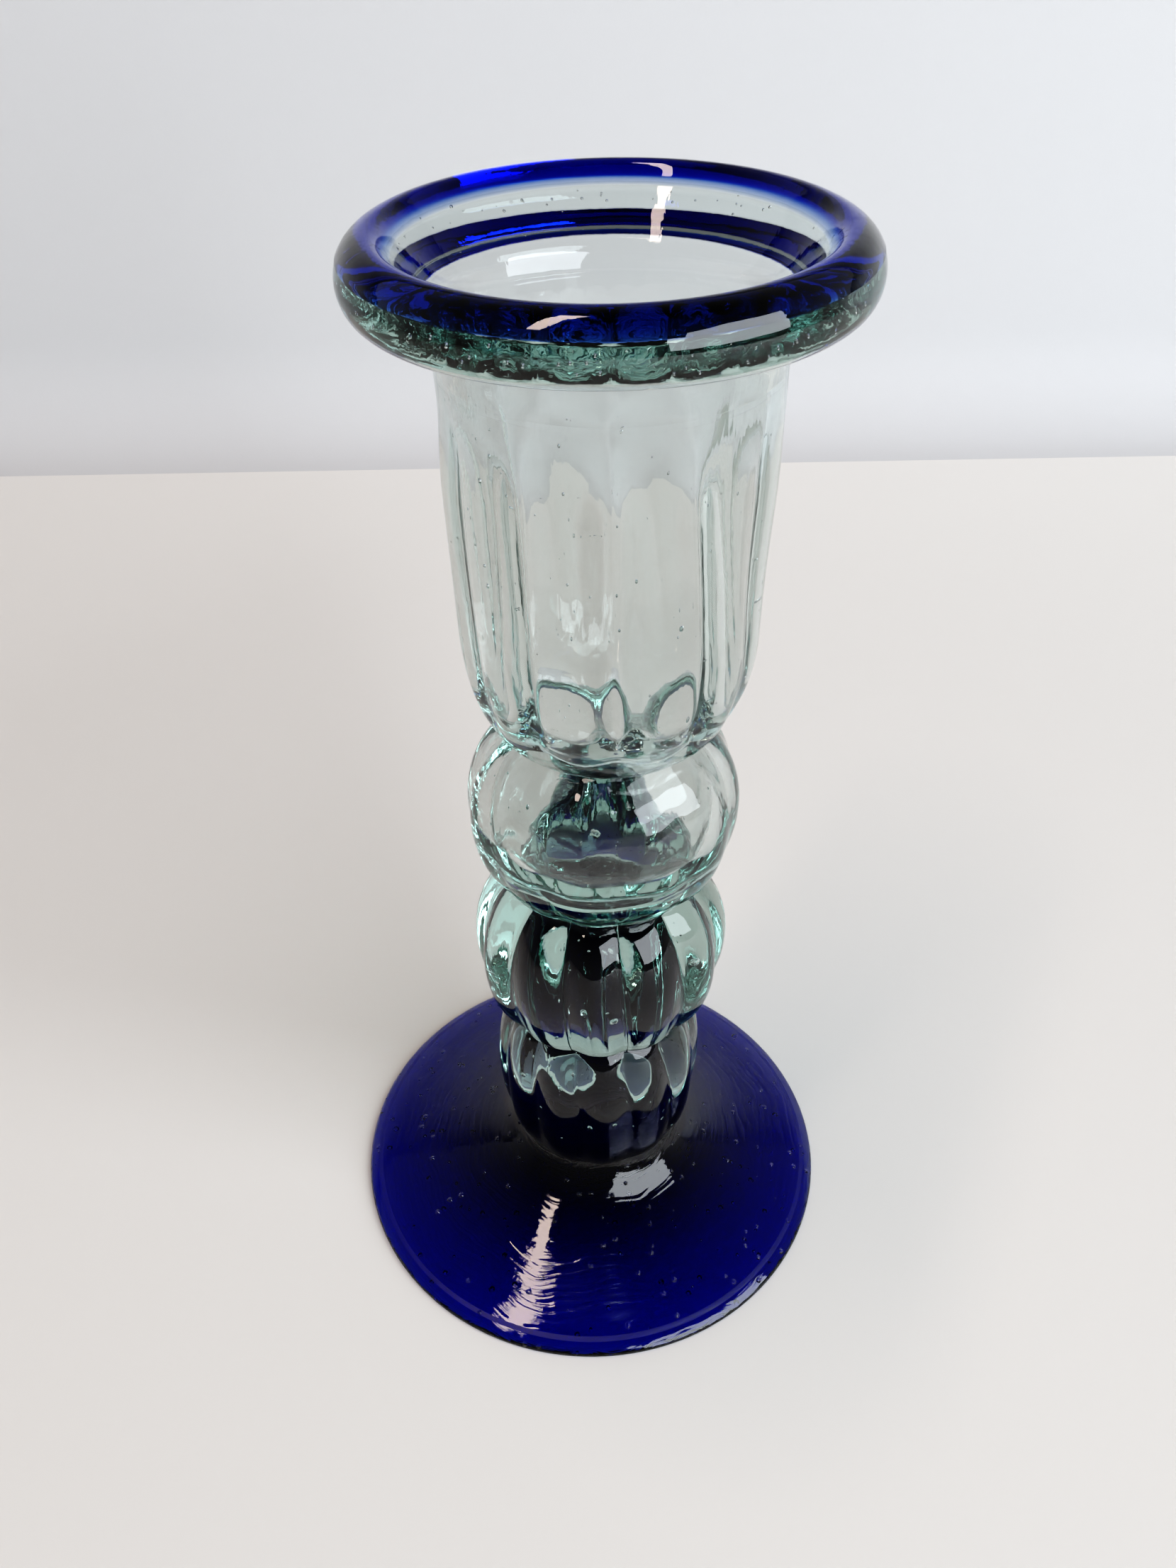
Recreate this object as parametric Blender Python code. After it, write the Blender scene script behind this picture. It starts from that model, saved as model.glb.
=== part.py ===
"""Hand-blown glass candlestick: cobalt foot, three ribbed knops, ribbed cup and rolled, cobalt-wrapped lip.

Metres, +Z up, standing on z = 0 with the stem on the Z axis. Every piece is a turned glass gather.
"""

import math

import bpy

# Every piece is set this far from its neighbour, where the real glass is fused.
JOINT_GAP = 0.0003
HALF_GAP = JOINT_GAP / 2

# Facets round each piece. The ribs need a multiple of four.
FACETS = 48
RIB_COUNT = 12

# Foot
FOOT_RADIUS = 0.0600
FOOT_EDGE = 0.0030
FOOT_REST_INNER = 0.0530
FOOT_KICK_UP = 0.0030
FOOT_FLARE = [
    (0.0540, 0.0040),
    (0.0440, 0.0062),
    (0.0340, 0.0096),
    (0.0270, 0.0132),
    (0.0235, 0.0162),
    (0.0211, 0.0195),
]
FOOT_TOP = 0.0215

# The lower knop sits in a shallow dish in the top of the foot
DISH_RADIUS = 0.0202
DISH_DEPTH = 0.0040
DISH_ROWS = 4

# Knops: the height of each joint, the neck radius there, and the belly radius between joints
LOWER_MIDDLE_JOINT = 0.0642
MIDDLE_UPPER_JOINT = 0.1056
UPPER_CUP_JOINT = 0.1444
LOWER_NECK = 0.0178
MIDDLE_NECK = 0.0165
UPPER_NECK = 0.0160
LOWER_BELLY = 0.0252
MIDDLE_BELLY = 0.0289
UPPER_BELLY = 0.0289
LOWER_RIB = 0.0012
MIDDLE_RIB = 0.0016
UPPER_RIB = 0.0006
KNOP_ROWS = 11

# Hollow of the upper knop, which opens upward through the throat
THROAT_RADIUS = 0.0122
HOLLOW_FLOOR = 0.1132
HOLLOW_FLOOR_RADIUS = 0.0120
HOLLOW_BELLY = 0.0250
HOLLOW_WAIST = 0.1260

# Cup
CUP_LIP_JOINT = 0.2195
CUP_RIB = 0.0010
CUP_OUTER = [
    (0.0190, 0.1460),
    (0.0229, 0.1492),
    (0.0269, 0.1565),
    (0.0288, 0.1640),
    (0.0293, 0.1730),
    (0.0293, 0.1950),
    (0.0293, 0.2100),
]
CUP_INNER = [
    (0.0256, 0.2050),
    (0.0255, 0.1850),
    (0.0253, 0.1700),
    (0.0239, 0.1605),
    (0.0205, 0.1540),
    (0.0160, 0.1500),
    (0.0132, 0.1475),
]
CUP_TOP_OUTER = 0.0297
CUP_TOP_INNER = 0.0256

# The lip in section: out under the roll, over the cobalt cap, and down the funnel inside
LIP_UNDER = [
    (0.0300, 0.2254),
    (0.0306, 0.2280),
    (0.0319, 0.2297),
    (0.0340, 0.2303),
    (0.0388, 0.2304),
    (0.0410, 0.2309),
    (0.0425, 0.2323),
    (0.0432, 0.2344),
    (0.0432, 0.2364),
]
CAP_OUTER_EDGE = (0.0427, 0.2384)
CAP_TOP = [
    (0.0418, 0.2397),
    (0.0405, 0.2408),
    (0.0389, 0.2415),
    (0.0374, 0.2416),
    (0.0362, 0.2410),
    (0.0352, 0.2398),
]
CAP_INNER_EDGE = (0.0341, 0.2381)
CAP_BACK = [
    (0.0357, 0.2388),
    (0.0376, 0.2384),
    (0.0396, 0.2379),
    (0.0414, 0.2377),
]
LIP_FUNNEL = [
    (0.0326, 0.2360),
    (0.0307, 0.2335),
    (0.0289, 0.2312),
    (0.0275, 0.2292),
    (0.0265, 0.2269),
    (0.0259, 0.2243),
]

# The ribs lean as they rise, and one faces straight forward where the lower and middle knops meet
TWIST_PER_METRE = math.radians(-120.0)

CLEAR = ("pale_aqua_glass", (0.72, 0.85, 0.80, 1.0), 0.06)
COBALT = ("cobalt_glass", (0.010, 0.012, 0.170, 1.0), 0.05)


def clear_scene():
    for obj in list(bpy.data.objects):
        bpy.data.objects.remove(obj, do_unlink=True)


def glass_material(name, glass):
    """Each node has its own material, so that it can be recoloured alone."""
    kind, colour, roughness = glass
    material = bpy.data.materials.new(f"{name}_{kind}")
    material.use_nodes = True
    shader = material.node_tree.nodes["Principled BSDF"]
    shader.inputs["Base Color"].default_value = colour
    shader.inputs["Roughness"].default_value = roughness
    shader.inputs["Metallic"].default_value = 0.0
    material.diffuse_color = colour
    return material


def rib_cut(angle):
    """0 on a rib's crest and 1 in the groove beside it."""
    return 1.0 - abs(math.cos(RIB_COUNT / 2 * angle))


def ring_points(radius, height, rib):
    points = []
    twist = TWIST_PER_METRE * (height - LOWER_MIDDLE_JOINT)
    for k in range(FACETS):
        angle = 2 * math.pi * k / FACETS
        r = radius - rib * rib_cut(angle)
        points.append((r * math.cos(angle + twist), r * math.sin(angle + twist), height))
    return points


def add_solid(name, verts, faces, glass):
    mesh = bpy.data.meshes.new(name)
    mesh.from_pydata(verts, [], faces)
    mesh.validate()
    mesh.materials.append(glass_material(name, glass))
    obj = bpy.data.objects.new(name, mesh)
    bpy.context.scene.collection.objects.link(obj)
    return obj


def side_faces(lower, upper):
    """Outward faces between two rings, given the index of each ring's first point."""
    faces = []
    for k in range(FACETS):
        n = (k + 1) % FACETS
        faces.append((lower + k, lower + n, upper + n, upper + k))
    return faces


def turned_solid(name, rows, start_height, end_height, glass):
    """A solid that meets the axis at both ends of its rows, each row as (radius, height, rib depth)."""
    verts = []
    for radius, height, rib in rows:
        verts.extend(ring_points(radius, height, rib))
    faces = []
    for i in range(len(rows) - 1):
        faces.extend(side_faces(i * FACETS, (i + 1) * FACETS))
    start = len(verts)
    verts.append((0.0, 0.0, start_height))
    verts.append((0.0, 0.0, end_height))
    last = (len(rows) - 1) * FACETS
    for k in range(FACETS):
        n = (k + 1) % FACETS
        faces.append((start, n, k))
        faces.append((start + 1, last + k, last + n))
    return add_solid(name, verts, faces, glass)


def turned_ring(name, rows, glass):
    """A ring of glass whose section is the closed loop of rows: up the outside, then down the inside."""
    verts = []
    for radius, height, rib in rows:
        verts.extend(ring_points(radius, height, rib))
    faces = []
    for i in range(len(rows)):
        j = (i + 1) % len(rows)
        faces.extend(side_faces(i * FACETS, j * FACETS))
    return add_solid(name, verts, faces, glass)


def knop_rows(bottom, top, neck_low, neck_high, belly, rib):
    """The outside of a knop, a rounded belly between two necks. The ribs fade out at the necks."""
    rows = []
    middle = (bottom + top) / 2
    half = (top - bottom) / 2
    for i in range(KNOP_ROWS):
        t = math.pi * (i / (KNOP_ROWS - 1) - 0.5)
        neck = neck_low if t < 0 else neck_high
        radius = neck + (belly - neck) * math.cos(t) ** 0.9 if abs(t) < 1.57 else neck
        rows.append((radius, middle + half * math.sin(t), rib * math.cos(t)))
    return rows


def foot_rows():
    """The foot from its rest ring out to the rounded edge and up the flare to the rim of the dish."""
    rows = [
        (FOOT_REST_INNER, 0.0, 0.0),
        (FOOT_RADIUS - 0.0007, 0.0, 0.0),
        (FOOT_RADIUS, FOOT_EDGE * 0.40, 0.0),
        (FOOT_RADIUS - 0.0004, FOOT_EDGE * 0.75, 0.0),
        (FOOT_RADIUS - 0.0020, FOOT_EDGE, 0.0),
    ]
    rows.extend((radius, height, 0.0) for radius, height in FOOT_FLARE)
    return rows


def dish_height(radius):
    """How far the dish lies below its rim."""
    return DISH_DEPTH * (1.0 - (radius / DISH_RADIUS) ** 2)


def dish_rows(rim_height):
    """The dish from its rim in toward the axis."""
    rows = []
    for i in range(DISH_ROWS):
        radius = DISH_RADIUS * (1.0 - i / DISH_ROWS)
        rows.append((radius, rim_height - dish_height(radius), 0.0))
    return rows


def add_foot():
    """The underside is a shallow kick-up inside the flat rest ring."""
    under = []
    for share in (0.30, 0.65):
        height = FOOT_KICK_UP * math.cos(math.pi / 2 * share)
        under.append((FOOT_REST_INNER * share, height, 0.0))
    rim = FOOT_TOP - HALF_GAP
    rows = under + foot_rows() + dish_rows(rim)
    return turned_solid("foot", rows, FOOT_KICK_UP, rim - DISH_DEPTH, COBALT)


def add_lower_knop():
    """Its underside is the rounded face that fills the dish."""
    rim = FOOT_TOP + HALF_GAP
    outside = knop_rows(rim, LOWER_MIDDLE_JOINT - HALF_GAP, DISH_RADIUS, LOWER_NECK, LOWER_BELLY, LOWER_RIB)
    under = list(reversed(dish_rows(rim)))[:-1]
    return turned_solid("lower_knop", under + outside, rim - DISH_DEPTH, outside[-1][1], CLEAR)


def add_middle_knop():
    rows = knop_rows(
        LOWER_MIDDLE_JOINT + HALF_GAP,
        MIDDLE_UPPER_JOINT - HALF_GAP,
        LOWER_NECK,
        MIDDLE_NECK,
        MIDDLE_BELLY,
        MIDDLE_RIB,
    )
    return turned_solid("middle_knop", rows, rows[0][1], rows[-1][1], CLEAR)


def upper_hollow_rows():
    """The inside of the upper knop, from the throat down to the floor."""
    rows = []
    top = UPPER_CUP_JOINT - HALF_GAP
    for i in range(5):
        t = math.pi / 2 * (1 - i / 4)
        radius = THROAT_RADIUS + (HOLLOW_BELLY - THROAT_RADIUS) * math.cos(t)
        rows.append((radius, HOLLOW_WAIST + (top - HOLLOW_WAIST) * math.sin(t), 0.0))
    for i in range(1, 5):
        t = math.pi / 2 * i / 4
        radius = HOLLOW_FLOOR_RADIUS + (HOLLOW_BELLY - HOLLOW_FLOOR_RADIUS) * math.cos(t)
        rows.append((radius, HOLLOW_WAIST - (HOLLOW_WAIST - HOLLOW_FLOOR) * math.sin(t), 0.0))
    return rows


def add_upper_knop():
    outside = knop_rows(
        MIDDLE_UPPER_JOINT + HALF_GAP,
        UPPER_CUP_JOINT - HALF_GAP,
        MIDDLE_NECK,
        UPPER_NECK,
        UPPER_BELLY,
        UPPER_RIB,
    )
    rows = outside + upper_hollow_rows()
    return turned_solid("upper_knop", rows, rows[0][1], HOLLOW_FLOOR, CLEAR)


def add_candle_cup():
    bottom = UPPER_CUP_JOINT + HALF_GAP
    top = CUP_LIP_JOINT - HALF_GAP
    rows = [(UPPER_NECK, bottom, 0.0)]
    for radius, height in CUP_OUTER:
        fade = min(1.0, (height - bottom) / 0.015)
        rows.append((radius, height, CUP_RIB * fade))
    rows.append((CUP_TOP_OUTER, top, 0.0))
    rows.append((CUP_TOP_INNER, top, 0.0))
    for radius, height in CUP_INNER:
        rows.append((radius, height, 0.0))
    rows.append((THROAT_RADIUS, bottom, 0.0))
    return turned_ring("candle_cup", rows, CLEAR)


def plain_rows(points):
    return [(radius, height, 0.0) for radius, height in points]


def add_rolled_lip():
    """The clear roll, with a bed across its top that lies one gap below the cap."""
    bottom = CUP_LIP_JOINT + HALF_GAP
    bed = [CAP_OUTER_EDGE, *reversed(CAP_BACK), CAP_INNER_EDGE]
    rows = [(CUP_TOP_OUTER, bottom, 0.0)]
    rows.extend(plain_rows(LIP_UNDER))
    rows.extend((radius, height - JOINT_GAP, 0.0) for radius, height in bed)
    rows.extend(plain_rows(LIP_FUNNEL))
    rows.append((CUP_TOP_INNER, bottom, 0.0))
    return turned_ring("rolled_lip", rows, CLEAR)


def add_lip_wrap():
    """The cobalt cap on the crest of the roll, feathered to an edge on both sides."""
    section = [CAP_OUTER_EDGE, *CAP_TOP, CAP_INNER_EDGE, *CAP_BACK]
    return turned_ring("cobalt_lip_wrap", plain_rows(section), COBALT)


clear_scene()
add_foot()
add_lower_knop()
add_middle_knop()
add_upper_knop()
add_candle_cup()
add_rolled_lip()
add_lip_wrap()
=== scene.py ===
"""Looks of the hand-blown glass candlestick: fused clear and cobalt glass on a pale table by a pale wall."""

import math

import bpy
import numpy as np
from mathutils import Matrix, Vector


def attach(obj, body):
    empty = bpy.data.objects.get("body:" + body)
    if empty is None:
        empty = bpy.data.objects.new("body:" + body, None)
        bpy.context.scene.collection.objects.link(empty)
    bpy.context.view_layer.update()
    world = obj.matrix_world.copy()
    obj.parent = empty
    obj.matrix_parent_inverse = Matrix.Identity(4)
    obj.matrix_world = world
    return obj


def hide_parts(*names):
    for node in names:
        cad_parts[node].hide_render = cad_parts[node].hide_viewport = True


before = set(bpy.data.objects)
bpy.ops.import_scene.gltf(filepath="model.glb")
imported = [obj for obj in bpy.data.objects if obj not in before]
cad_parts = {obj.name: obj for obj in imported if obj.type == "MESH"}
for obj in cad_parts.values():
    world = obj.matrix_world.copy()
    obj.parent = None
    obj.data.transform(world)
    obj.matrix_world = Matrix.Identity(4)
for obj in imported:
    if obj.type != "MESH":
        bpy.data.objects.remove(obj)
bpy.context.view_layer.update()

RNG = np.random.default_rng(41)
MM = 0.001

# Ribs: one on every twelfth of a turn, leaning a little as they rise
RIB_COUNT = 12
STEPS_PER_RIB = 18
AROUND = RIB_COUNT * STEPS_PER_RIB
TWIST = math.radians(-120.0)

# Half the gap left at a fused joint, and the radius of the innermost row of a plug
SEAM = 0.000008
BESIDE_AXIS = 0.0010

# How far a knop's wall strays from round
KNOP_UNEVEN = 0.00008

# The axis of each height, in metres: the stick was joined by hand and leans a little
LEAN_HEIGHTS = [0.0, 0.008, 0.022, 0.043, 0.085, 0.125, 0.144, 0.165, 0.215, 0.236, 0.245]
LEAN_SHIFTS = [0.0, 0.0, 0.0017, 0.0019, 0.0021, 0.0023, 0.0027, 0.0032, 0.0032, 0.0024, 0.0023]
LIP_TILT = 0.022

FOOT_TOP = 0.0215
LOWER_MIDDLE = 0.0642
MIDDLE_UPPER = 0.1056
UPPER_CUP = 0.1444
CUP_LIP = 0.2195


# ---------------------------------------------------------------- shapes


def smooth_step(low, high, x):
    t = np.clip((x - low) / (high - low), 0.0, 1.0)
    return t * t * (3 - 2 * t)


def rounded_line(points, per_mm=1.1):
    """A smooth curve through section points, sampled evenly along its length."""
    p = np.array(points, float)
    p = np.vstack([2 * p[0] - p[1], p, 2 * p[-1] - p[-2]])
    out = []
    for i in range(1, len(p) - 2):
        a, b, c, d = p[i - 1], p[i], p[i + 1], p[i + 2]
        count = max(2, int(np.linalg.norm(c - b) / MM * per_mm))
        for t in np.arange(count) / count:
            curve = 2 * b + (c - a) * t + (2 * a - 5 * b + 4 * c - d) * t * t
            out.append(0.5 * (curve + (3 * b - 3 * c + d - a) * t * t * t))
    out.append(p[-2])
    return np.array(out)


def knop_line(bottom, top, neck_low, neck_high, belly, count=56):
    """The outside of a knop from its lower neck to its upper neck."""
    t = np.linspace(-math.pi / 2, math.pi / 2, count)
    neck = np.where(t < 0, neck_low, neck_high)
    radius = neck + (belly - neck) * np.cos(t).clip(0, 1)
    height = (bottom + top) / 2 + (top - bottom) / 2 * np.sin(t)
    return np.stack([radius, height], 1)


def lobe(angle, softness):
    """0 on a rib's crest and 1 in the groove beside it."""
    wave = np.sqrt(np.cos(RIB_COUNT / 2 * angle) ** 2 + softness)
    low, high = math.sqrt(softness), math.sqrt(1 + softness)
    return (high - wave) / (high - low)


def rib_angle(angle, height):
    """The ribs twist as they rise and wander a little, as hand-worked glass does."""
    wander = 0.020 * np.sin(angle * 2 + 0.7 + height * 35) + 0.012 * np.sin(angle * 5 + height * 90)
    return angle - TWIST * (height - LOWER_MIDDLE) + wander


def wobble(angle, height, amount):
    a = np.sin(angle * 2 + 1.1 + height * 60) + 0.6 * np.sin(angle * 3 - height * 85 + 2.0)
    return amount * (a + 0.4 * np.sin(angle * 5 + height * 140))


class Wall:
    """One run of rows of a turned surface: its line, its rib depth, and whether it is a fused joint."""

    def __init__(self, line, rib=0.0, softness=0.05, fused=False, uneven=KNOP_UNEVEN):
        self.line = np.array(line, float)
        self.rib = np.broadcast_to(np.asarray(rib, float), len(self.line))
        self.softness = softness
        self.fused = fused
        self.uneven = np.broadcast_to(np.asarray(uneven, float), len(self.line))


def even_ends(line, amount, first=True, last=True, reach=0.006):
    """Unevenness along a line, fading to none at the ends that meet a joint."""
    line = np.array(line, float)
    along = np.concatenate([[0.0], np.cumsum(np.linalg.norm(np.diff(line, axis=0), axis=1))])
    near = along if first else np.full(len(line), reach)
    far = along[-1] - along if last else np.full(len(line), reach)
    return amount * smooth_step(0.0, reach, np.minimum(near, far))


def rows_of(wall):
    angle = np.arange(AROUND) / AROUND * 2 * math.pi
    rows = []
    for (radius, height), rib, uneven in zip(wall.line, wall.rib, wall.uneven):
        r = radius - rib * lobe(rib_angle(angle, height), wall.softness)
        share = min(1.0, radius / 0.02)
        r = r + wobble(angle, height, uneven) * share
        rows.append(np.stack([r * np.cos(angle), r * np.sin(angle), np.full(AROUND, height)], 1))
    return rows


def settle(points):
    """Moves points from a true stem to the leaning, slightly tilted one."""
    p = points.copy()
    tilt = LIP_TILT * smooth_step(0.205, 0.232, points[:, 2])
    p[:, 2] += tilt * points[:, 0]
    p[:, 0] += np.interp(points[:, 2], LEAN_HEIGHTS, LEAN_SHIFTS)
    return p


def seed_shape():
    """A small ball of points and faces, facing inward, for an air bubble in the glass."""
    rings, around = (4, 8)
    points = [(0.0, 0.0, -1.0)]
    for i in range(1, rings):
        polar = math.pi * i / rings
        for k in range(around):
            turn = 2 * math.pi * k / around
            across = math.sin(polar)
            points.append((across * math.cos(turn), across * math.sin(turn), -math.cos(polar)))
    points.append((0.0, 0.0, 1.0))
    faces = []
    for k in range(around):
        n = (k + 1) % around
        faces.append((0, 1 + k, 1 + n))
        top = 1 + (rings - 2) * around
        faces.append((len(points) - 1, top + n, top + k))
        for i in range(rings - 2):
            low, high = 1 + i * around, 1 + (i + 1) * around
            faces.append((low + n, low + k, high + k, high + n))
    return np.array(points), faces


def turned(name, walls, closed, seeds, material):
    """Builds a piece from walls laid end to end, up the outside and then in or down.

    A ring's last wall ends where its first begins, and a plug starts and ends beside the axis.
    """
    rows, fused, corners = [], [], []
    for i, wall in enumerate(walls):
        made = rows_of(wall)
        if i == 0:
            rows.append(made[0])
        elif walls[i - 1].fused != wall.fused:
            corners.append(len(rows) - 1)
        rows.extend(made[1:])
        fused.extend([wall.fused] * (len(made) - 1))
    if closed == "ring":
        rows.pop()
        corners.append(0)
    faces, flags = [], []
    for i, flag in enumerate(fused):
        add_band(faces, i, (i + 1) % len(rows))
        flags.extend([flag] * AROUND)
    points = np.concatenate(rows)
    if closed == "plug":
        points = add_ends(points, faces, len(rows))
        flags.extend([walls[0].fused] * AROUND + [walls[-1].fused] * AROUND)
    seed_points, seed_faces = seeds_of(seeds, len(points))
    points = settle(np.vstack([points, seed_points]))
    faces.extend(seed_faces)
    flags.extend([False] * len(seed_faces))
    return finish_mesh(name, points, faces, flags, corners, len(rows), material)


def add_band(faces, lower, upper):
    for k in range(AROUND):
        n = (k + 1) % AROUND
        faces.append((lower * AROUND + k, lower * AROUND + n, upper * AROUND + n, upper * AROUND + k))


def add_ends(points, faces, row_count):
    """Closes a plug with a fan at each end."""
    bottom, top = len(points), len(points) + 1
    last = (row_count - 1) * AROUND
    for k in range(AROUND):
        faces.append((bottom, (k + 1) % AROUND, k))
    for k in range(AROUND):
        faces.append((top, last + k, last + (k + 1) % AROUND))
    return np.vstack([points, [(0.0, 0.0, points[0, 2]), (0.0, 0.0, points[last, 2])]])


def seeds_of(seeds, offset):
    shape, shape_faces = seed_shape()
    points, faces = [np.zeros((0, 3))], []
    for i, (centre, size, stretch) in enumerate(seeds):
        base = offset + i * len(shape)
        points.append(shape * (size, size, size * stretch) + centre)
        faces.extend(tuple(base + j for j in face) for face in shape_faces)
    return np.concatenate(points), faces


def finish_mesh(name, points, faces, flags, corners, row_count, material):
    """Makes the object, smooth but for the corners where a fused joint meets a free surface."""
    mesh = bpy.data.meshes.new(name)
    mesh.from_pydata(points.tolist(), [], faces)
    joint = mesh.attributes.new("fused_joint", "FLOAT", "FACE")
    joint.data.foreach_set("value", np.array(flags, np.float32))
    edges = np.zeros(len(mesh.edges) * 2, np.int32)
    mesh.edges.foreach_get("vertices", edges)
    rows = edges.reshape(-1, 2) // AROUND
    sharp = (rows[:, 0] == rows[:, 1]) & np.isin(rows[:, 0], corners) & (rows[:, 0] < row_count)
    mesh.shade_smooth()
    mark = mesh.attributes.get("sharp_edge") or mesh.attributes.new("sharp_edge", "BOOLEAN", "EDGE")
    mark.data.foreach_set("value", sharp)
    mesh.materials.append(material)
    obj = bpy.data.objects.new(name, mesh)
    bpy.context.scene.collection.objects.link(obj)
    return obj


# ---------------------------------------------------------------- materials


def nodes_for(name):
    material = bpy.data.materials.new(name)
    material.use_nodes = True
    tree = material.node_tree
    return material, tree, tree.nodes["Principled BSDF"]


def link(tree, a, b):
    tree.links.new(a, b)


def noise(tree, coordinates, scale, detail=2.0, rough=0.5, stretch=(1.0, 1.0, 1.0)):
    mapping = tree.nodes.new("ShaderNodeMapping")
    mapping.inputs["Scale"].default_value = stretch
    link(tree, coordinates, mapping.inputs["Vector"])
    node = tree.nodes.new("ShaderNodeTexNoise")
    node.inputs["Scale"].default_value = scale
    node.inputs["Detail"].default_value = detail
    node.inputs["Roughness"].default_value = rough
    link(tree, mapping.outputs["Vector"], node.inputs["Vector"])
    return node.outputs["Fac"]


def bump(tree, height, distance, normal=None):
    node = tree.nodes.new("ShaderNodeBump")
    node.inputs["Strength"].default_value = 1.0
    node.inputs["Distance"].default_value = distance
    link(tree, height, node.inputs["Height"])
    if normal is not None:
        link(tree, normal, node.inputs["Normal"])
    return node.outputs["Normal"]


def ramp(tree, value, low, high, low_at=0.0, high_at=1.0):
    node = tree.nodes.new("ShaderNodeMapRange")
    node.inputs["From Min"].default_value = low_at
    node.inputs["From Max"].default_value = high_at
    node.inputs["To Min"].default_value = low
    node.inputs["To Max"].default_value = high
    link(tree, value, node.inputs["Value"])
    return node.outputs["Result"]


def maths(tree, operation, *inputs):
    node = tree.nodes.new("ShaderNodeMath")
    node.operation = operation
    for i, value in enumerate(inputs):
        if isinstance(value, float):
            node.inputs[i].default_value = value
        else:
            link(tree, value, node.inputs[i])
    return node.outputs["Value"]


def axis_distance(tree, place):
    flat = tree.nodes.new("ShaderNodeVectorMath")
    flat.operation = "MULTIPLY"
    flat.inputs[1].default_value = (1.0, 1.0, 0.0)
    link(tree, place, flat.inputs[0])
    size = tree.nodes.new("ShaderNodeVectorMath")
    size.operation = "LENGTH"
    link(tree, flat.outputs["Vector"], size.inputs[0])
    return size.outputs["Value"]


def rings(tree, place):
    """Fine ripples round the foot, left by turning it."""
    stray = noise(tree, place, 45.0, 2.0)
    out = maths(tree, "MULTIPLY_ADD", stray, 0.012, axis_distance(tree, place))
    line = tree.nodes.new("ShaderNodeTexNoise")
    line.noise_dimensions = "1D"
    line.inputs["Scale"].default_value = 750.0
    line.inputs["Detail"].default_value = 2.0
    link(tree, out, line.inputs["W"])
    return line.outputs["Fac"]


def raised_seeds(tree, place):
    """Small domes where bubbles lie just under the surface, thickest in patches."""
    cells = tree.nodes.new("ShaderNodeTexVoronoi")
    cells.inputs["Scale"].default_value = 330.0
    link(tree, place, cells.inputs["Vector"])
    dome = ramp(tree, cells.outputs["Distance"], 1.0, 0.0, 0.06, 0.24)
    pick = tree.nodes.new("ShaderNodeSeparateColor")
    link(tree, cells.outputs["Color"], pick.inputs["Color"])
    patch = ramp(tree, noise(tree, place, 60.0, 1.0), 0.97, 0.62, 0.35, 0.70)
    chosen = maths(tree, "GREATER_THAN", pick.outputs["Red"], patch)
    return maths(tree, "MULTIPLY", maths(tree, "SINE", maths(tree, "MULTIPLY", dome, 1.5708)), chosen)


def rough_below(tree, place, smooth):
    """The underside of the foot is left as it was pressed, not polished."""
    split = tree.nodes.new("ShaderNodeSeparateXYZ")
    link(tree, place, split.inputs["Vector"])
    low = maths(tree, "LESS_THAN", split.outputs["Z"], 0.0032)
    within = maths(tree, "LESS_THAN", axis_distance(tree, place), 0.0575)
    under = maths(tree, "MULTIPLY", low, within)
    return maths(tree, "MULTIPLY_ADD", under, 0.45, smooth)


def glass(name, tint, density, ior, waves, striae, roughness, shine, film, turned_marks=False):
    """Solid coloured glass. Fused joints take an index of 1, so that they don't show inside the glass."""
    material, tree, shader = nodes_for(name)
    shader.inputs["Base Color"].default_value = film
    shader.inputs["Transmission Weight"].default_value = 1.0
    shader.inputs["IOR"].default_value = ior
    shader.inputs["Specular IOR Level"].default_value = shine
    place = tree.nodes.new("ShaderNodeTexCoord").outputs["Object"]
    joint = tree.nodes.new("ShaderNodeAttribute")
    joint.attribute_type = "GEOMETRY"
    joint.attribute_name = "fused_joint"
    link(tree, ramp(tree, joint.outputs["Fac"], ior, 1.0), shader.inputs["IOR"])
    surface = tree.nodes.new("ShaderNodeMix")
    surface.data_type = "RGBA"
    surface.inputs["A"].default_value = film
    surface.inputs["B"].default_value = WHITE
    link(tree, joint.outputs["Fac"], surface.inputs["Factor"])
    link(tree, surface.outputs["Result"], shader.inputs["Base Color"])
    slow = noise(tree, place, 90.0, 2.0, 0.5)
    drawn = noise(tree, place, 260.0, 3.0, 0.55, stretch=(1.0, 1.0, 0.16))
    normal = bump(tree, slow, waves)
    normal = bump(tree, drawn, striae, normal)
    if turned_marks:
        normal = bump(tree, rings(tree, place), 0.00010, normal)
        normal = bump(tree, raised_seeds(tree, place), 0.0006, normal)
    link(tree, normal, shader.inputs["Normal"])
    dust = noise(tree, place, 900.0, 3.0, 0.6)
    smooth = ramp(tree, dust, roughness[0], roughness[1], 0.35, 0.75)
    if turned_marks:
        smooth = rough_below(tree, place, smooth)
    link(tree, smooth, shader.inputs["Roughness"])
    volume = tree.nodes.new("ShaderNodeVolumeAbsorption")
    volume.inputs["Color"].default_value = tint
    volume.inputs["Density"].default_value = density
    link(tree, volume.outputs["Volume"], tree.nodes["Material Output"].inputs["Volume"])
    return material


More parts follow.
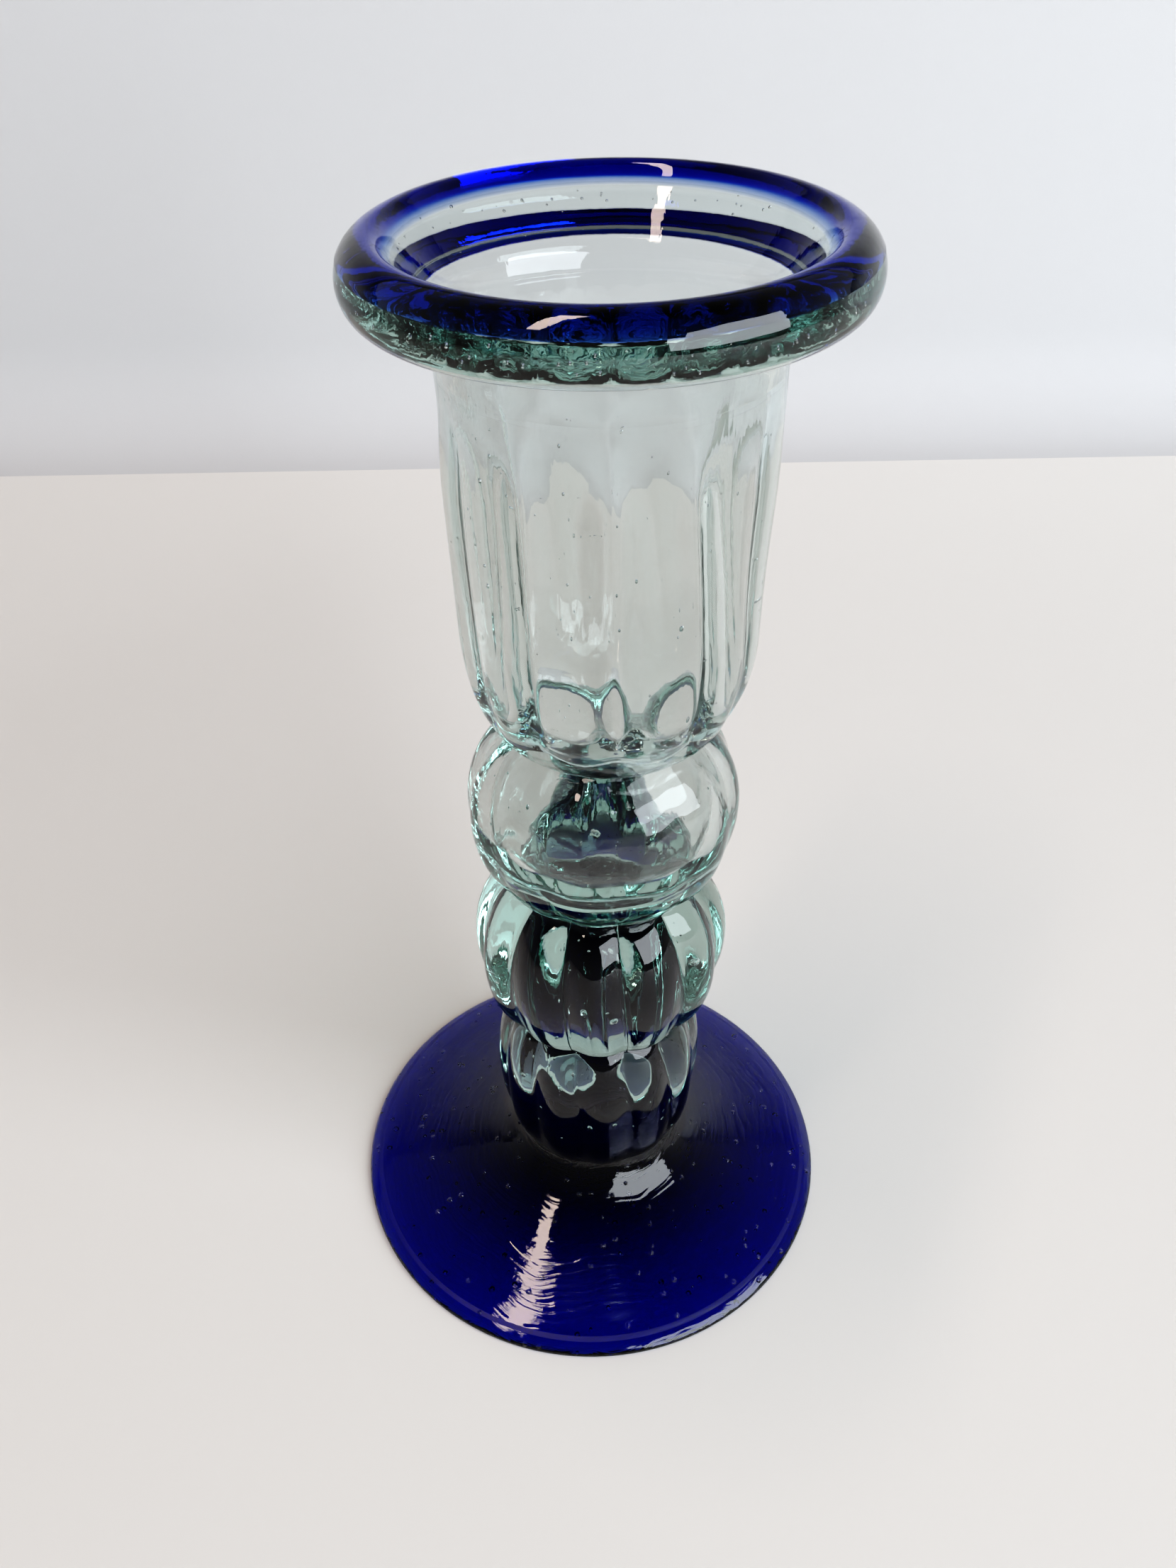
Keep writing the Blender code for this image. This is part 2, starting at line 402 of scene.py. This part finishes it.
WHITE = (1.0, 1.0, 1.0, 1.0)
FILM = (0.84, 0.855, 0.845, 1.0)
CLEAR = glass(
    "pale_aqua_glass",
    tint=(0.42, 0.72, 0.66, 1.0),
    density=19.0,
    ior=1.50,
    waves=0.00010,
    striae=0.00005,
    roughness=(0.0, 0.02),
    shine=0.30,
    film=FILM,
)
COBALT_FOOT = glass(
    "cobalt_foot_glass",
    tint=(0.0, 0.31, 0.92, 1.0),
    density=1400.0,
    ior=1.50,
    waves=0.00010,
    striae=0.00003,
    roughness=(0.0, 0.03),
    shine=0.5,
    film=WHITE,
    turned_marks=True,
)
COBALT_WRAP = glass(
    "cobalt_wrap_glass",
    tint=(0.0, 0.30, 0.86, 1.0),
    density=1350.0,
    ior=1.50,
    waves=0.00008,
    striae=0.00003,
    roughness=(0.0, 0.02),
    shine=0.5,
    film=WHITE,
)


# ---------------------------------------------------------------- air bubbles


def bubbles(count, low, high, inner, outer, size):
    """Random bubbles between two radii, given as functions of height."""
    found = []
    while len(found) < count:
        z = RNG.uniform(low, high)
        turn = RNG.uniform(0, 2 * math.pi)
        spread = RNG.uniform(0, 1)
        radius_in, radius_out = inner(z), outer(z)
        r = radius_in + (radius_out - radius_in) * spread**0.6
        scale = size * RNG.lognormal(0.0, 0.45)
        stretch = RNG.uniform(1.0, 1.8)
        nearest = radius_in + (1.6 * scale if radius_in else 0)
        if radius_out - radius_in < 3 * scale or r > radius_out - 1.6 * scale or r < nearest:
            continue
        found.append((np.array([r * math.cos(turn), r * math.sin(turn), z]), scale, stretch))
    return found


def radius_at(line, rib=0.0):
    order = np.argsort(line[:, 1])
    heights, radii = line[order, 1], line[order, 0] - rib

    def at(z):
        return float(np.interp(z, heights, radii))

    return at


# ---------------------------------------------------------------- foot


FOOT_CONTACT = 0.0202
BOWL_DEPTH = 0.0040


def bowl_line(top, count=9):
    """The dished face where the lower knop sits in the foot, from its edge to the axis."""
    radius = np.linspace(FOOT_CONTACT, BESIDE_AXIS, count)
    return np.stack([radius, top - BOWL_DEPTH * (1 - (radius / FOOT_CONTACT) ** 2)], 1)


def foot_seeds(upper):
    """Bubbles just under the top of the foot."""
    order = np.argsort(upper[:, 0])
    seeds = []
    for _ in range(150):
        turn = RNG.uniform(0, 2 * math.pi)
        r = 0.056 * math.sqrt(RNG.uniform(0.07, 1.0))
        size = 0.00036 * RNG.lognormal(0.0, 0.4)
        depth = size * RNG.uniform(1.15, 2.0)
        height = float(np.interp(r, upper[order, 0], upper[order, 1])) - depth
        seeds.append((np.array([r * math.cos(turn), r * math.sin(turn), height]), size, 1.0))
    return seeds


def foot_piece():
    top = FOOT_TOP - SEAM
    upper = rounded_line(
        [
            (0.0593, 0.0000),
            (0.0599, 0.0003),
            (0.0600, 0.0008),
            (0.0597, 0.0014),
            (0.0588, 0.0021),
            (0.0570, 0.0030),
            (0.0540, 0.0039),
            (0.0490, 0.0050),
            (0.0440, 0.0062),
            (0.0390, 0.0077),
            (0.0340, 0.0096),
            (0.0300, 0.0115),
            (0.0270, 0.0132),
            (0.0246, 0.0151),
            (0.0226, 0.0173),
            (0.0210, 0.0197),
            (FOOT_CONTACT, top),
        ]
    )
    kick_up = [(0.0020, 0.0030), (0.0200, 0.0026), (0.0400, 0.0012), (0.0510, 0.0002), (0.0530, 0.0)]
    under = rounded_line(kick_up)
    ring = [(0.0530, 0.0), (0.0560, 0.0), (0.0593, 0.0)]
    joint = bowl_line(top)
    seeds = foot_seeds(upper)
    walls = [
        Wall(under, uneven=0.0),
        Wall(ring, uneven=0.0),
        Wall(upper, uneven=even_ends(upper, 0.00006)),
        Wall(joint, fused=True, uneven=0.0),
    ]
    return turned("foot_glass", walls, "plug", seeds, COBALT_FOOT)


# ---------------------------------------------------------------- knops


class Knop:
    """A knop between two joints: its necks, its belly and its ribs."""

    def __init__(self, bottom, top, necks, belly, rib, softness):
        self.bottom, self.top = bottom + SEAM, top - SEAM
        self.neck_low, self.neck_high = necks
        self.belly = belly
        self.rib, self.softness = rib, softness

    def outside(self):
        return knop_line(self.bottom, self.top, self.neck_low, self.neck_high, self.belly)

    def outer_wall(self):
        line = self.outside()
        t = np.linspace(-1, 1, len(line))
        depth = self.rib * np.cos(t * math.pi / 2).clip(0, 1) ** 0.8
        return Wall(line, rib=depth, softness=self.softness, uneven=even_ends(line, KNOP_UNEVEN))

    def flat_base(self):
        return [(BESIDE_AXIS, self.bottom), (self.neck_low / 2, self.bottom), (self.neck_low, self.bottom)]


LOWER = Knop(FOOT_TOP, LOWER_MIDDLE, (FOOT_CONTACT, 0.0178), 0.0252, 0.0015, 0.01)
MIDDLE = Knop(LOWER_MIDDLE, MIDDLE_UPPER, (0.0178, 0.0165), 0.0290, 0.0019, 0.01)
UPPER = Knop(MIDDLE_UPPER, UPPER_CUP, (0.0165, 0.0160), 0.0289, 0.0007, 0.25)

# The hollow of the upper knop
THROAT = 0.0122
HOLLOW_BELLY, HOLLOW_WAIST = 0.0250, 0.1260
HOLLOW_FLOOR, HOLLOW_FLOOR_RADIUS = 0.1120, 0.0105
HOLLOW_RIB = 0.0004


def hollow_line(top):
    """The wall of the hollow, from the throat down to the middle of its floor."""
    quarter = np.linspace(0, 1, 30) * math.pi / 2
    high_radius = THROAT + (HOLLOW_BELLY - THROAT) * np.sin(quarter) ** 1.1
    high = HOLLOW_WAIST + (top - HOLLOW_WAIST) * np.cos(quarter)
    low_radius = HOLLOW_FLOOR_RADIUS + (HOLLOW_BELLY - HOLLOW_FLOOR_RADIUS) * np.cos(quarter) ** 1.1
    low = HOLLOW_WAIST - (HOLLOW_WAIST - HOLLOW_FLOOR) * np.sin(quarter)
    line = np.vstack([np.stack([high_radius, high], 1), np.stack([low_radius, low], 1)[1:]])
    flat = np.linspace(HOLLOW_FLOOR_RADIUS, BESIDE_AXIS, 9)[1:]
    return np.vstack([line, np.stack([flat, np.full(8, HOLLOW_FLOOR)], 1)])


def axis_line(z):
    return 0.0


def solid_knop(name, knop, base, seed_count, seed_size):
    """A knop of solid glass on a given base."""
    top = [(knop.neck_high, knop.top), (knop.neck_high / 2, knop.top), (BESIDE_AXIS, knop.top)]
    outer = radius_at(knop.outside(), knop.rib + 0.0004)
    seeds = bubbles(seed_count, knop.bottom + 0.003, knop.top - 0.003, axis_line, outer, seed_size)
    walls = [Wall(base, fused=True, uneven=0.0), knop.outer_wall(), Wall(top, fused=True, uneven=0.0)]
    return turned(name, walls, "plug", seeds, CLEAR)


def hollow_knop(name, knop, seed_count, seed_size):
    """A knop with a thick floor and a hollow that opens upward."""
    inside = hollow_line(knop.top)
    rib_inside = HOLLOW_RIB * smooth_step(0.012, 0.021, inside[:, 0])
    top = [(knop.neck_high, knop.top), ((knop.neck_high + THROAT) / 2, knop.top), (THROAT, knop.top)]
    outer, inner = radius_at(knop.outside(), knop.rib + 0.0003), radius_at(inside)
    seeds = bubbles(seed_count, HOLLOW_FLOOR + 0.001, knop.top - 0.003, inner, outer, seed_size)
    seeds += bubbles(seed_count // 3, knop.bottom + 0.002, HOLLOW_FLOOR - 0.001, axis_line, outer, seed_size)
    walls = [
        Wall(knop.flat_base(), fused=True, uneven=0.0),
        knop.outer_wall(),
        Wall(top, fused=True, uneven=0.0),
        Wall(inside, rib=rib_inside, softness=0.6, uneven=even_ends(inside, 0.00012)),
    ]
    return turned(name, walls, "plug", seeds, CLEAR)


# ---------------------------------------------------------------- cup and lip


# The ribs stand out on both faces of the cup's wall, so the inner ones have the opposite sign
CUP_RIB_OUT, CUP_RIB_IN = 0.0011, -0.0012


def cup_piece():
    bottom, top = UPPER_CUP + SEAM, CUP_LIP - SEAM
    outside = rounded_line(
        [
            (0.0160, bottom),
            (0.0172, 0.1450),
            (0.0203, 0.1464),
            (0.0240, 0.1500),
            (0.0269, 0.1560),
            (0.0288, 0.1640),
            (0.0294, 0.1740),
            (0.0294, 0.1950),
            (0.0294, 0.2100),
            (0.0296, top),
        ]
    )
    inside = rounded_line(
        [
            (0.0256, top),
            (0.0256, 0.2050),
            (0.0255, 0.1850),
            (0.0253, 0.1700),
            (0.0239, 0.1605),
            (0.0208, 0.1545),
            (0.0168, 0.1505),
            (0.0134, 0.1472),
            (0.0122, bottom),
        ]
    )
    rise, fade = smooth_step(0.147, 0.158, outside[:, 1]), smooth_step(0.206, 0.219, outside[:, 1])
    rib_out = CUP_RIB_OUT * rise * (1 - 0.7 * fade)
    rise, fade = smooth_step(0.150, 0.162, inside[:, 1]), smooth_step(0.200, 0.218, inside[:, 1])
    rib_in = CUP_RIB_IN * rise * (1 - fade)
    high = [(0.0296, top), (0.0276, top), (0.0256, top)]
    low = [(0.0122, bottom), (0.0141, bottom), (0.0160, bottom)]
    inner, outer = radius_at(inside), radius_at(outside, 0.001)
    seeds = bubbles(150, bottom + 0.006, top - 0.002, inner, outer, 0.00019)
    walls = [
        Wall(outside, rib=rib_out, softness=0.05, uneven=even_ends(outside, 0.00034, reach=0.02)),
        Wall(high, fused=True, uneven=0.0),
        Wall(inside, rib=rib_in, softness=0.4, uneven=even_ends(inside, 0.00036, reach=0.02)),
        Wall(low, fused=True, uneven=0.0),
    ]
    return turned("candle_cup_glass", walls, "ring", seeds, CLEAR)


# The lip in section: out and up under the roll, over the cobalt cap, and down the funnel inside
LIP_UNDER = [
    (0.0297, 0.2225),
    (0.0300, 0.2254),
    (0.0306, 0.2280),
    (0.0319, 0.2297),
    (0.0340, 0.2303),
    (0.0365, 0.2302),
    (0.0388, 0.2304),
    (0.0410, 0.2309),
    (0.0425, 0.2323),
    (0.0432, 0.2344),
    (0.0432, 0.2364),
    (0.0427, 0.2384),
]
CAP_SKIN = [
    (0.0427, 0.2384),
    (0.0418, 0.2397),
    (0.0405, 0.2408),
    (0.0389, 0.2415),
    (0.0374, 0.2416),
    (0.0362, 0.2410),
    (0.0352, 0.2398),
    (0.0341, 0.2381),
]
CAP_BACK = [
    (0.0341, 0.2381),
    (0.0357, 0.2388),
    (0.0376, 0.2384),
    (0.0396, 0.2379),
    (0.0414, 0.2377),
    (0.0427, 0.2384),
]
LIP_FUNNEL = [
    (0.0341, 0.2381),
    (0.0326, 0.2360),
    (0.0307, 0.2335),
    (0.0289, 0.2312),
    (0.0275, 0.2292),
    (0.0265, 0.2269),
    (0.0259, 0.2243),
    (0.0257, 0.2218),
]


def lowered(line):
    return np.array(line) - (0.0, SEAM)


def lip_seeds():
    seeds = []
    for _ in range(90):
        turn, out = RNG.uniform(0, 2 * math.pi), RNG.uniform(-math.pi, math.pi)
        part = RNG.uniform(0.0, 0.0025)
        r = 0.0388 + part * math.cos(out)
        z = 0.2343 + part * math.sin(out)
        centre = np.array([r * math.cos(turn), r * math.sin(turn), z])
        seeds.append((centre, 0.0002 * RNG.lognormal(0, 0.4), 1.0))
    return seeds


def lip_pieces():
    bottom = CUP_LIP + SEAM
    outside = rounded_line([(0.0296, bottom), *LIP_UNDER[:-1], tuple(lowered(LIP_UNDER[-1]))], 2.0)
    bed = lowered(rounded_line(CAP_BACK[::-1], 2.0))
    funnel = rounded_line([tuple(lowered(LIP_FUNNEL[0])), *LIP_FUNNEL[1:], (0.0256, bottom)], 1.6)
    low = [(0.0256, bottom), (0.0276, bottom), (0.0296, bottom)]
    rib_out = 0.00033 * (1 - smooth_step(0.2195, 0.2245, outside[:, 1])) * (outside[:, 0] < 0.032)
    walls = [
        Wall(outside, rib=rib_out, softness=0.05, uneven=even_ends(outside, 0.00008, last=False)),
        Wall(bed, fused=True),
        Wall(funnel, uneven=even_ends(funnel, 0.00008, first=False)),
        Wall(low, fused=True, uneven=0.0),
    ]
    roll = turned("rolled_lip_glass", walls, "ring", lip_seeds(), CLEAR)
    skin, backing = rounded_line(CAP_SKIN, 2.0), rounded_line(CAP_BACK, 2.0)
    wrap = turned("cobalt_wrap_glass", [Wall(skin), Wall(backing, fused=True)], "ring", [], COBALT_WRAP)
    return roll, wrap


# ---------------------------------------------------------------- stage and light


def painted_shade_by_height(tree, place, shade, fade):
    """Painted shade: darkens a colour toward near black with height, between two heights."""
    split = tree.nodes.new("ShaderNodeSeparateXYZ")
    link(tree, place, split.inputs["Vector"])
    mix = tree.nodes.new("ShaderNodeMix")
    mix.data_type = "RGBA"
    link(tree, ramp(tree, split.outputs["Z"], 0.0, 1.0, *fade), mix.inputs["Factor"])
    link(tree, shade, mix.inputs["A"])
    mix.inputs["B"].default_value = (0.03, 0.03, 0.03, 1.0)
    return mix.outputs["Result"]


def stage_material(name, colour, mottle, fade=None):
    material, tree, shader = nodes_for(name)
    place = tree.nodes.new("ShaderNodeTexCoord").outputs["Object"]
    cloud = noise(tree, place, 3.0, 3.0)
    mix = tree.nodes.new("ShaderNodeMix")
    mix.data_type = "RGBA"
    mix.inputs["A"].default_value = (*[c * (1 - mottle) for c in colour], 1.0)
    mix.inputs["B"].default_value = (*colour, 1.0)
    link(tree, cloud, mix.inputs["Factor"])
    shade = mix.outputs["Result"]
    # The wall's colour is darkened toward its top: painted shade in place of light falling off up the wall.
    if fade:
        shade = painted_shade_by_height(tree, place, shade, fade)
    link(tree, shade, shader.inputs["Base Color"])
    shader.inputs["Roughness"].default_value = 0.65
    shader.inputs["Specular IOR Level"].default_value = 0.2
    link(tree, bump(tree, noise(tree, place, 700.0, 2.0), 0.00002), shader.inputs["Normal"])
    return material


def plain_mesh(name, points, faces, material):
    mesh = bpy.data.meshes.new(name)
    mesh.from_pydata(points, [], faces)
    mesh.shade_smooth()
    mesh.materials.append(material)
    obj = bpy.data.objects.new(name, mesh)
    bpy.context.scene.collection.objects.link(obj)


WALL_BEHIND = 0.472
WALL_SLANT = 0.040
COVE = 0.050
WALL_TOP = 0.62
# Heights over which the wall's colour is painted darker, to near black: painted shade.
WALL_PAINTED_SHADE = (0.26, 0.62)


def add_stage():
    """A table that runs back to a wall, with a soft cove between them; the wall's colour is painted darker
    toward its top, as shade.
    """
    table = stage_material("pale_table", (0.845, 0.825, 0.790), 0.04)
    wall = stage_material("pale_wall", (0.64, 0.64, 0.645), 0.03, WALL_PAINTED_SHADE)
    half, near, level = 2.6, -1.6, -0.00005
    back, slant = WALL_BEHIND - COVE, WALL_SLANT * half
    front = [(-half, near, level), (half, near, level)]
    rear = [(half, back + slant, level), (-half, back - slant, level)]
    plain_mesh("table_top", front + rear, [(0, 1, 2, 3)], table)
    points, faces = [], []
    for i in range(13):
        a = math.pi / 2 * i / 12
        y = back + COVE * math.sin(a)
        z = COVE - COVE * math.cos(a) + level
        points += [(-half, y - slant, z), (half, y + slant, z)]
    points += [(-half, WALL_BEHIND - slant, WALL_TOP), (half, WALL_BEHIND + slant, WALL_TOP)]
    for i in range(len(points) // 2 - 1):
        faces.append((2 * i, 2 * i + 1, 2 * i + 3, 2 * i + 2))
    plain_mesh("back_wall", points, faces, wall)


WARM_PLACE, WARM_TURN = (-0.50, -0.28, 1.72), (0, 0, math.radians(-27.5))
COOL_PLACE = (1.35, -1.21, 0.98)
COOL_TURN = Vector((-1.35, 1.21, -0.86)).to_track_quat("-Z", "Y").to_euler()


def add_window(name, centre, turn, width, height, colour, radiance):
    """A flat rectangular light, given by the radiance of its face."""
    data = bpy.data.lights.new(name, "AREA")
    data.shape = "RECTANGLE"
    data.size, data.size_y = width, height
    data.color = colour
    data.energy = radiance * width * height * math.pi
    obj = bpy.data.objects.new(name, data)
    obj.location = centre
    obj.rotation_euler = turn
    bpy.context.scene.collection.objects.link(obj)


def add_windows():
    """A narrow warm window overhead to the left, and a broad cool one to the right of the viewer."""
    add_window("warm_window", WARM_PLACE, WARM_TURN, 0.15, 1.32, (1.0, 0.80, 0.70), 15.0)
    add_window("cool_window", COOL_PLACE, COOL_TURN, 2.0, 1.45, (0.88, 0.94, 1.0), 7.0)


def add_world():
    """A room that is pale toward the back wall, dim behind the viewer and dark overhead."""
    world = bpy.data.worlds.new("pale_room")
    bpy.context.scene.world = world
    world.use_nodes = True
    tree = world.node_tree
    sky = tree.nodes["Background"]
    place = tree.nodes.new("ShaderNodeTexCoord").outputs["Generated"]
    split = tree.nodes.new("ShaderNodeSeparateXYZ")
    link(tree, place, split.inputs["Vector"])
    height = ramp(tree, split.outputs["Z"], 0.62, 0.03, 0.05, 0.96)
    side = ramp(tree, split.outputs["Y"], 0.30, 1.0, -0.35, 0.40)
    link(tree, maths(tree, "MULTIPLY", height, side), sky.inputs["Strength"])
    sky.inputs["Color"].default_value = (0.985, 0.995, 1.0, 1.0)


CAMERA_PLACE = (-0.0008, -0.2086, 0.2998)
CAMERA_PITCH = 0.688


def add_camera():
    """Looks down on the candlestick from close in front, its axis about 39 degrees below level."""
    data = bpy.data.cameras.new("camera")
    data.sensor_fit = "AUTO"
    data.sensor_width = 36.0
    data.lens = 29.30
    data.clip_start, data.clip_end = 0.01, 20.0
    obj = bpy.data.objects.new("camera", data)
    tilt = Matrix.Rotation(math.pi / 2 - CAMERA_PITCH, 4, "X")
    obj.matrix_world = Matrix.Translation(CAMERA_PLACE) @ tilt
    bpy.context.scene.collection.objects.link(obj)
    bpy.context.scene.camera = obj


# A camera's tone curve, which deepens the darkest tones: scene value, shown value.
TONE = [(0.03, 0.014), (0.06, 0.040), (0.12, 0.103), (0.25, 0.244), (0.5, 0.5)]


def set_look():
    scene = bpy.context.scene
    scene.view_settings.view_transform = "Standard"
    scene.view_settings.look = "None"
    scene.view_settings.exposure = 0.0
    scene.view_settings.use_curve_mapping = True
    tone = scene.view_settings.curve_mapping
    for value, shown in TONE:
        tone.curves[3].points.new(value, shown)
    tone.update()
    scene.cycles.use_denoising = True
    scene.cycles.max_bounces = 28
    scene.cycles.transmission_bounces = 28
    scene.cycles.glossy_bounces = 12
    scene.cycles.diffuse_bounces = 3
    scene.cycles.transparent_max_bounces = 24
    scene.cycles.sample_clamp_indirect = 6.0
    scene.cycles.caustics_reflective = True
    scene.cycles.caustics_refractive = True


def ride_as(piece, slot, *nodes):
    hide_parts(*nodes)
    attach(piece, "root")


def build():
    ride_as(foot_piece(), "cobalt_glass_foot", "foot")
    lower = solid_knop("lower_knop_glass", LOWER, bowl_line(LOWER.bottom)[::-1], 70, 0.00030)
    ride_as(lower, "aqua_glass", "lower_knop")
    middle = solid_knop("middle_knop_glass", MIDDLE, MIDDLE.flat_base(), 90, 0.00028)
    ride_as(middle, "aqua_glass", "middle_knop")
    ride_as(hollow_knop("upper_knop_glass", UPPER, 60, 0.00022), "aqua_glass", "upper_knop")
    ride_as(cup_piece(), "aqua_glass", "candle_cup")
    roll, wrap = lip_pieces()
    ride_as(roll, "aqua_glass", "rolled_lip")
    ride_as(wrap, "cobalt_glass_wrap", "cobalt_lip_wrap")


build()
add_stage()
add_world()
add_windows()
add_camera()
set_look()
